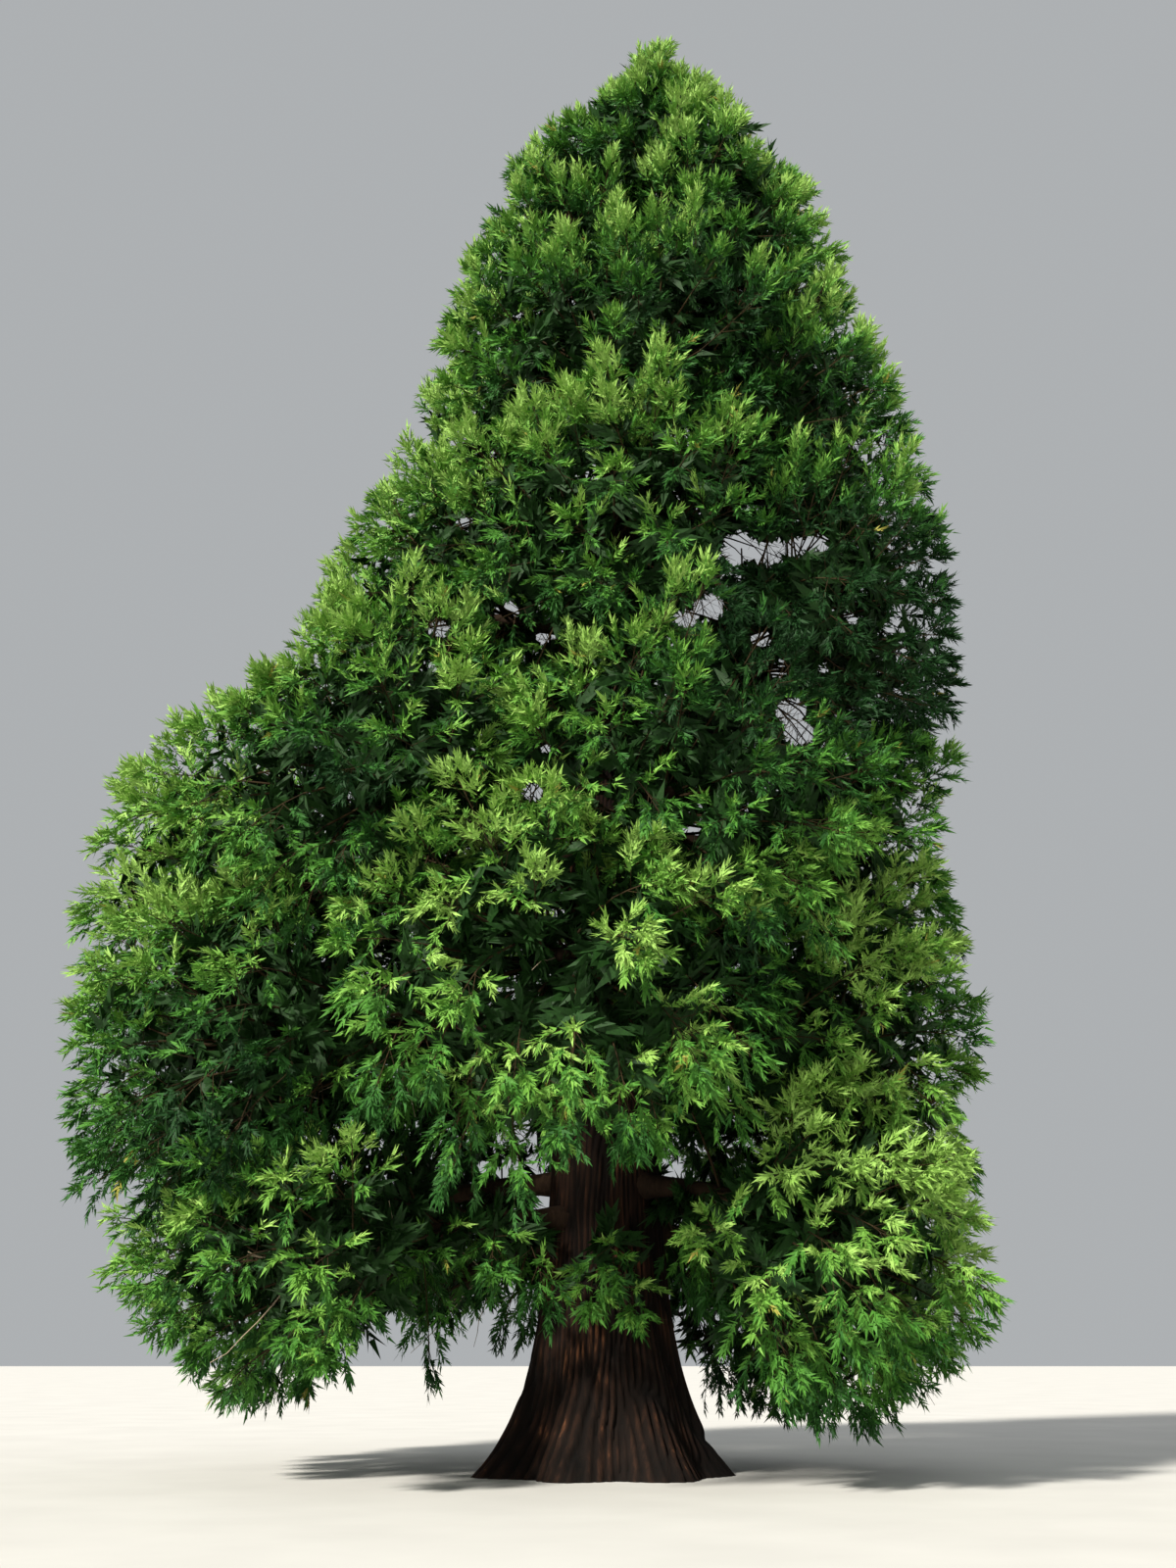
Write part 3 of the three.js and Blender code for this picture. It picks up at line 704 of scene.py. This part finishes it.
def inner_branches(masses):
    """Control points of short branches that leave each limb to all sides, inside the crown's surface."""
    rng = np.random.default_rng(61)
    found = []
    for mass in masses:
        start = bezier(mass["curve"], rng.uniform(*INNER_SPAN, INNER_BRANCHES))
        way = unit(rng.normal(0.5 * mass["out"], 0.8, start.shape))
        tip = start + rng.uniform(*INNER_LENGTH, (INNER_BRANCHES, 1)) * way
        kept = is_inside(mass, tip, WALL_SLACK) & is_in_view_of_crown(tip) & (crown_depth(tip) > INNER_DEPTH)
        found.append(np.stack((start, 0.5 * (start + tip) + 0.1 * UP, tip), axis=1)[kept])
    return np.concatenate(found)


def make_branches(control):
    """Tubes along the branches."""
    share = np.linspace(0, 1, BRANCH_STEPS)
    paths = bezier(control[:, None], share[None])
    radii = np.broadcast_to(BRANCH_ROOT + (BRANCH_TIP - BRANCH_ROOT) * share, paths.shape[:2])
    return tubes(paths, radii, 4)


# Foliage: shoots on the tufts, fans of fingers on the shoots

AXIS_STEPS = 4
AXIS_TIP = 0.005
HEADING_BEND = 0.15  # a tuft that points up bends up this much more
SHOOTS = 9
SHOOT_SPAN = (0.25, 0.71)  # shoots start at this share of the tuft's axis, and take up this much of it
SHOOT_LEANS = (1.25, 0.15)  # radians from the axis, at its root and its tip
SHOOT_LENGTHS = (0.22, 0.38)  # of the tuft's length: at its tip, and how much more at its root
SHOOT_RADII = (0.006, 0.003)
SHOOT_BEND = 1.3  # against the tuft's
SPRAYS = 8  # on each shoot
SPRAY_SPAN = (0.36, 0.64)  # sprays start at this share of the shoot, and take up this much of it
SPRAY_LEANS = (0.8, 0.15)  # radians from the shoot, at its root and its tip
FAN_SPREAD = (0.6, 0.1)  # radians between a finger and the fan's middle line, at its root and its tip
FAN_LINE = 0.62  # the middle line's length against the fan's
FINGER_REACH = 0.48  # a finger's length against the fan's
FINGERS = 6
FINGER_WIDTH = 0.3  # against its length
SPRAY_SIZE = 0.26
FACING = 1.1  # how much the sprays turn their flat sides outwards
LOWEST_LEAF = 0.25
OVERHANG = 0.25  # leaves that would grow further than this out of the crown's outline are skipped
BEND_HEIGHTS = (4.0, 20.0)  # tufts droop below the first and rise above the second
BENDS = (-0.2, 0.12)
PAINTED_LIGHT_WEIGHTS = (1.1, 1.1, 0.12)  # of the painted light: for a spray's place outwards, upwards, and its tuft's heading upwards
LIGHT_NOISE = (0.08, 0.05)  # of a tuft and of a spray
TINTED = (0.002, 0.004)  # shares of tufts and of sprays with the tint
TINT_START = 0.6  # tinted sprays sit further out on the tuft than this

# The inner fans that darken each mass behind its tufts, whose dark green is painted shade
INNER_FANS = 10  # on each branch
INNER_FINGERS = 9
INNER_SIZE = 0.6
INNER_WIDTH = 0.42
INNER_RANGE = (0.45, 1.2)  # along the branch, whose end is at 1


def fans(base, way, face, size, fingers, width, rng):
    """Corners (..., finger, 3, 3) of fans. Fingers leave a middle line to either side by turns.

    They spread widely at its root and narrowly at its tip, and each is pointed."""
    shape = size.shape + (fingers,)
    share = np.arange(fingers) / (fingers - 1)
    hand = np.where(np.arange(fingers) % 2, 1, -1)
    angle = (hand * np.interp(share, (0, 1), FAN_SPREAD) + rng.normal(0, 0.1, shape))[..., None]
    base, way, face = base[..., None, :], way[..., None, :], face[..., None, :]
    lift = rng.normal(0.04, 0.3, shape)[..., None]
    ahead = unit(np.cos(angle) * way + np.sin(angle) * np.cross(face, way) + lift * face)
    start = base + (FAN_LINE * share * size[..., None])[..., None] * way
    long = (FINGER_REACH * size[..., None] * rng.uniform(0.8, 1.2, shape))[..., None]
    half = 0.5 * width * long * unit(np.cross(face + rng.normal(0, 0.5, shape + (3,)), ahead))
    return np.stack((start + long * ahead, start + half, start - half), axis=-2)


def is_open(points):
    """Whether each point is seen in an opening."""
    x, z = seen_at(points)
    return np.any([np.hypot(x - at, z - height) < radius for at, height, radius in OPENINGS], axis=0)


def painted_place_light(points):
    """How much painted light each point gets for its place, negative for painted shade: a bell curve round
    each of the places.
    """
    x, z = seen_at(points)
    return sum(strength * np.exp(-((x - at) ** 2 + (z - height) ** 2) / radius ** 2)
               for at, height, radius, strength in PAINTED_LIGHT_PLACES)


def is_kept(corners):
    """Whether each finger (..., finger, 3, 3) is kept.

    Its fan stays off the ground and starts in the crown's outline, and the finger lies out of openings."""
    root = corners[..., 0, 1, :]
    height = corners[..., 2]
    level = (height.min(axis=(-1, -2)) > LOWEST_LEAF) & (height.max(axis=(-1, -2)) < HEIGHT)
    fan = level & is_between_sides(*seen_at(root)) & (crown_depth(root) > -OVERHANG)
    return fan[..., None] & ~is_open(corners.mean(axis=-2))


def droop(z):
    """How far growth bends upwards at a height, against its length."""
    return np.interp(z, BEND_HEIGHTS, BENDS)


def grow_foliage(tufts):
    """Tubes of the tufts' axes and shoots, and the fans of leaves with their light, as whole arrays.

    Shoots leave a tuft's axis by the golden angle, wide at its root and narrow at its tip. Sprays leave a
    shoot to either side. The painted light, which picks each spray's green, is brighter towards the tips,
    partly for their own fresher green, and on the upper side of a tuft as painted sunlight; the places add
    painted light and painted shade."""
    rng = np.random.default_rng(31)
    root, heading, length = tufts["root"], tufts["heading"], tufts["length"]
    number = len(root)
    side, up = cross_frame(heading)
    bend = (droop(root[:, 2]) + HEADING_BEND * heading[:, 2])[:, None] * UP

    def on_axis(share):
        """Points of the tufts' bent axes at shares (T, K)."""
        forward = share[..., None] * heading[:, None] + share[..., None] ** 2 * bend[:, None]
        return root[:, None] + length[:, None, None] * forward

    axis_paths = on_axis(np.broadcast_to(np.linspace(0, 1, AXIS_STEPS), (number, AXIS_STEPS)))
    axis_radii = np.broadcast_to(np.linspace(BRANCH_TIP, AXIS_TIP, AXIS_STEPS), (number, AXIS_STEPS))
    axes = tubes(axis_paths, axis_radii, 3)

    k = np.arange(SHOOTS)
    first, span = SHOOT_SPAN
    along = first + span * (k + 0.5) / SHOOTS + rng.uniform(-0.02, 0.02, (number, SHOOTS))
    turn = k * GOLDEN_TURN + rng.uniform(0, 2 * np.pi, (number, 1)) + rng.normal(0, 0.25, (number, SHOOTS))
    lean = np.interp(along, (first, 0.95), SHOOT_LEANS) + rng.normal(0, 0.1, (number, SHOOTS))
    radial = np.cos(turn)[..., None] * side[:, None] + np.sin(turn)[..., None] * up[:, None]
    shoot_way = unit(np.cos(lean)[..., None] * heading[:, None] + np.sin(lean)[..., None] * radial)
    at_tip, more = SHOOT_LENGTHS
    shoot_length = length[:, None] * (at_tip + more * (1 - along) ** 0.7)
    shoot_length = shoot_length * rng.uniform(0.85, 1.15, along.shape)
    shoot_root = on_axis(along)
    shoot_bend = SHOOT_BEND * bend[:, None] * rng.uniform(0.5, 1.3, along.shape)[..., None]

    def on_shoot(share):
        """Points and tangents of the shoots at shares broadcast to (T, K, S)."""
        share = share[..., None]
        forward = share * shoot_way[:, :, None] + share ** 2 * shoot_bend[:, :, None]
        tangent = unit(shoot_way[:, :, None] + 2 * share * shoot_bend[:, :, None])
        return shoot_root[:, :, None] + shoot_length[:, :, None, None] * forward, tangent

    shoot_paths, _ = on_shoot(np.broadcast_to(np.array((0.0, 0.9)), (number, SHOOTS, 2)))
    shoot_radii = np.broadcast_to(np.array(SHOOT_RADII), (number * SHOOTS, 2))
    shoots = tubes(shoot_paths.reshape(-1, 2, 3), shoot_radii, 3)

    s = np.arange(SPRAYS)
    first, span = SPRAY_SPAN
    share = first + span * (s + 0.8) / SPRAYS + rng.uniform(-0.03, 0.03, (number, SHOOTS, SPRAYS))
    base, tangent = on_shoot(np.minimum(share, 1))
    spray_side, spray_up = cross_frame(tangent)
    roll = rng.normal(0, 0.7, share.shape)[..., None]
    flat = np.cos(roll) * spray_side + np.sin(roll) * spray_up
    hand = np.where(s % 2, 1.0, -1.0) * np.interp(s, (0, SPRAYS - 1), SPRAY_LEANS)
    hand = (hand + rng.normal(0, 0.15, share.shape))[..., None]
    way = np.cos(hand) * tangent + np.sin(hand) * flat + 0.2 * rng.normal(0, 1, base.shape)
    way = unit(way + 0.8 * droop(base[..., 2])[..., None] * UP)
    across = unit(np.cross(np.cross(tangent, flat) + FACING * heading[:, None, None], way))
    size = SPRAY_SIZE * rng.uniform(0.8, 1.2, share.shape)
    corners = fans(base, way, np.cross(way, across), size, FINGERS, FINGER_WIDTH, rng)

    outer = along[..., None] * 0.5 + share * 0.5
    middle = on_axis(np.full((number, 1), 0.6))[:, :, None]
    above = (base - middle)[..., 2] / length[:, None, None]
    outwards, upwards, rising = PAINTED_LIGHT_WEIGHTS
    # painted light: lighter towards the tips, partly their own fresher green, and on the upper side of each
    # tuft, with painted light and shade by place; it deals out the greens
    light = outwards * outer + upwards * above + rising * heading[:, None, None, 2] + painted_place_light(base)
    light += rng.normal(0, LIGHT_NOISE[0], (number, 1, 1)) + rng.normal(0, LIGHT_NOISE[1], share.shape)
    tinted = (rng.random((number, 1, 1)) < TINTED[0]) | (rng.random(share.shape) < TINTED[1])
    tinted = tinted & (outer > TINT_START)
    return axes, shoots, corners, light, tinted


def grow_inner_fans(control, heading):
    """Larger fans along the outer part of the branches and on past their ends, square to their headings."""
    rng = np.random.default_rng(41)
    share = rng.uniform(*INNER_RANGE, (len(control), INNER_FANS))
    base = bezier(control[:, None], share)
    face = unit(heading[:, None] + rng.normal(0, 0.3, base.shape))
    way = unit(np.cross(face, rng.normal(0, 1, base.shape)) + 0.2 * face)
    across = unit(np.cross(face, way))
    size = INNER_SIZE * rng.uniform(0.7, 1.2, share.shape)
    return fans(base, way, np.cross(way, across), size, INNER_FINGERS, INNER_WIDTH, rng)


def make_leaves(corners, light, tinted, inner):
    """One piece for each kind of leaf, with a triangle for each finger.

    The kinds share out the fans by their painted light, in the shares of LEAF_KINDS, so that they are lit
    and shaded tones of one green; the inner fans take the inner green, which is painted shade."""
    greens = [share for _, share, _, _ in LEAF_KINDS if share]
    kind = np.searchsorted(np.quantile(-light, np.cumsum(greens)[:-1]), -light)
    kind = np.where(tinted, len(LEAF_KINDS) - 1, kind)
    pieces = []
    for number, (name, _, dark, light_tone) in enumerate(LEAF_KINDS):
        chosen = inner if name == "leaves_inner_green_painted_shade" else corners[kind == number]
        vertices = chosen[is_kept(chosen)].reshape(-1, 3)
        triangles = np.arange(len(vertices)).reshape(-1, 3)
        material = leaf_material(name, dark, light_tone)
        pieces.append(make_piece(name, vertices, triangles, material, "foliage"))
    return pieces


# Dead twigs

DEAD_TWIGS = 50
DEAD_TWIG_TIERS = ("skirt", "low")


def make_dead_twigs(masses):
    """Bare pale twigs that stick out of the lowest limbs, outwards and down."""
    rng = np.random.default_rng(51)
    low = [mass for mass in masses if mass["tier"]["name"] in DEAD_TWIG_TIERS]
    mass_of = rng.integers(0, len(low), DEAD_TWIGS)
    start = np.array([bezier(low[i]["curve"], rng.uniform(0.5, 0.98)) for i in mass_of])
    out = np.array([low[i]["out"] for i in mass_of])
    heading = unit(0.7 * out + rng.normal(0, 0.5, start.shape) - 0.35 * UP)
    length = rng.uniform(0.9, 2.0, (DEAD_TWIGS, 1))
    control = np.stack((start, start + 0.5 * length * heading,
                        start + length * unit(heading + rng.normal(0, 0.3, start.shape))), axis=1)
    control[..., 2] = np.maximum(control[..., 2], LOWEST_LEAF)
    share = np.linspace(0, 1, 7)
    paths = bezier(control[:, None], share[None])
    paths += rng.normal(0, 0.02, paths.shape) * share[:, None]
    radii = np.broadcast_to(0.013 - 0.009 * share, paths.shape[:2])
    return make_piece("dead_twigs", *tubes(paths, radii, 4), DEAD_BARK, "bough_bark", smooth=True)


# Stage: floor and light


def make_stage():
    """A wide pale floor, a large soft key light from the upper left front, and even pale surroundings."""
    material, tree, surface, place = new_material("floor")
    mottle = node(tree, "ShaderNodeTexNoise", {"Vector": place, "Scale": 0.5, "Detail": 3.0})
    tree.links.new(ramp(tree, mottle.outputs["Fac"], ((0.3, "#d3d1cc"), (0.7, "#dbd9d4"))),
                   surface.inputs["Base Color"])
    surface.inputs["Roughness"].default_value = 0.9
    mesh = bpy.data.meshes.new("floor")
    reach = 400.0
    mesh.from_pydata([(-reach, -reach, 0), (reach, -reach, 0), (reach, reach, 0), (-reach, reach, 0)], [],
                     [(0, 1, 2, 3)])
    mesh.materials.append(material)
    floor = bpy.data.objects.new("floor", mesh)
    bpy.context.scene.collection.objects.link(floor)

    sun = bpy.data.lights.new("key", "SUN")
    sun.energy = 6.3
    sun.angle = math.radians(6)
    sun.color = (1.0, 0.96, 0.88)
    key = bpy.data.objects.new("key", sun)
    towards = np.array((-0.65, -0.85, 0.68))
    pitch = math.atan2(math.hypot(towards[0], towards[1]), towards[2])
    key.rotation_euler = (pitch, 0, math.atan2(towards[1], towards[0]) + math.pi / 2)
    bpy.context.scene.collection.objects.link(key)

    world = bpy.data.worlds.new("surroundings")
    world.use_nodes = True
    sky = world.node_tree.nodes["Background"]
    sky.inputs["Color"].default_value = linear("#e8ecef")
    sky.inputs["Strength"].default_value = 0.52
    bpy.context.scene.world = world

    lens = bpy.data.cameras.new("camera")
    lens.lens = LENS
    lens.sensor_width = FRAME
    lens.clip_end = 500
    camera = bpy.data.objects.new("camera", lens)
    camera.location = EYE
    camera.rotation_euler = (math.radians(90 + PITCH), 0, 0)
    bpy.context.scene.collection.objects.link(camera)
    bpy.context.scene.camera = camera
    bpy.context.scene.view_settings.view_transform = "Standard"


masses = plan_crown()
build_walls(masses)
for mass in masses:
    mass["curve"] = limb_curve(mass)
make_trunk()
make_limbs(masses)
tufts = grow_tufts(masses)
inner = inner_branches(masses)
branches = np.concatenate((branch_control(tufts), inner))
ways = np.concatenate((tufts["heading"], unit(inner[:, 2] - inner[:, 0])))
axes, shoots, corners, light, tinted = grow_foliage(tufts)
make_piece("branches", *join((make_branches(branches), axes)), TWIG_BARK, "bough_bark", smooth=True)
make_piece("twigs", *shoots, TWIG_BARK, "bough_bark", smooth=True)
leaves = make_leaves(corners, light, tinted, grow_inner_fans(branches, ways))
make_dead_twigs(masses)
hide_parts(*[mass["name"] for mass in masses])
make_stage()
